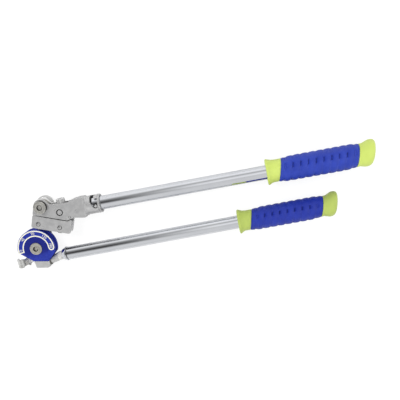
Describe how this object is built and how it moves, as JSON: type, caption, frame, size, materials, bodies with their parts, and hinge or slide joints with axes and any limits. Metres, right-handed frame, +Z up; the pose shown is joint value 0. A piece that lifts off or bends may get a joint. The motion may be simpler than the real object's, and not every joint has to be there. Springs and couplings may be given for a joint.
{
  "type": "hand tube bender",
  "caption": "Hand tube bender with a grooved former and degree scale, a rocking roller bracket on a forked yoke, a tube latch and two ribbed lever grips.",
  "frame": {"origin": "where the axis of the former's pivot bolt meets the bench that the tool lies on, at the bolt's rear end", "axes": "+X along the lower handle towards the grips, +Y in the tool's plane towards the upper handle, +Z up from the bench along the pivot axis, towards the former's scale"},
  "size_m": [0.4527, 0.0907, 0.031],
  "materials": {
    "former": "deep blue anodised former, satin",
    "bolt_steel": "turned steel screws, bolts and pins",
    "latch_steel": "forged and plated steel hook",
    "roller_steel": "ground hardened rollers",
    "brass": "plain bearing metal",
    "block": "light grey plated forging",
    "casting": "satin grey plated casting",
    "tube_chrome": "bright chromed tube",
    "grip_core": "lime green moulded plastic",
    "grip_sleeve": "royal blue ribbed rubber"
  },
  "bodies": {
    "base": {"former_wheel": "former", "pivot_bolt": "bolt_steel", "pivot_nut": "bolt_steel", "pivot_shim": "brass", "former_block": "block", "former_screw_left": "bolt_steel", "former_screw_right": "bolt_steel", "latch_pin": "bolt_steel", "lower_ferrule": "tube_chrome", "lower_handle_tube": "tube_chrome", "lower_grip_core": "grip_core", "lower_grip_sleeve": "grip_sleeve"},
    "link": {"rear_link": "casting", "link_bush": "brass", "yoke_screw": "bolt_steel", "yoke_nut": "bolt_steel", "yoke_spacer": "bolt_steel"},
    "yoke_handle": {"yoke": "casting", "mid_pin": "bolt_steel", "cross_pin": "bolt_steel", "stop_screw": "bolt_steel", "socket_button": "bolt_steel", "upper_handle_tube": "tube_chrome", "upper_grip_core": "grip_core", "upper_grip_sleeve": "grip_sleeve"},
    "bracket": {"roller_bracket": "casting", "axle_near": "bolt_steel", "axle_far": "bolt_steel"},
    "near_roller": {"roller_near": "roller_steel"},
    "far_roller": {"roller_far": "roller_steel"},
    "latch": {"tube_latch": "latch_steel"}
  },
  "joints": [
    {"name": "head_swing", "type": "hinge", "parent": "base", "child": "link", "pos_m": [0, 0, 0.0155], "axis": [0, 0, 1], "range_deg": [-2.5, 110.5]},
    {"name": "yoke_lift", "type": "hinge", "parent": "link", "child": "yoke_handle", "pos_m": [0.02032, 0.05064, 0.0155], "axis": [0, 0, 1], "range_deg": [0, 60]},
    {"name": "bracket_rock", "type": "hinge", "parent": "yoke_handle", "child": "bracket", "pos_m": [0.04156, 0.0395, 0.0155], "axis": [0, 0, 1], "range_deg": [-1.5, 0.5]},
    {"name": "near_roller_spin", "type": "hinge", "parent": "bracket", "child": "near_roller", "pos_m": [0.01128, 0.03016, 0.0155], "axis": [0, 0, 1], "continuous": true},
    {"name": "far_roller_spin", "type": "hinge", "parent": "bracket", "child": "far_roller", "pos_m": [0.03647, 0.02074, 0.0155], "axis": [0, 0, 1], "continuous": true},
    {"name": "latch_swing", "type": "hinge", "parent": "base", "child": "latch", "pos_m": [-0.0172, -0.0162, 0.0123], "axis": [0, 1, 0], "range_deg": [0, 45]}
  ]
}
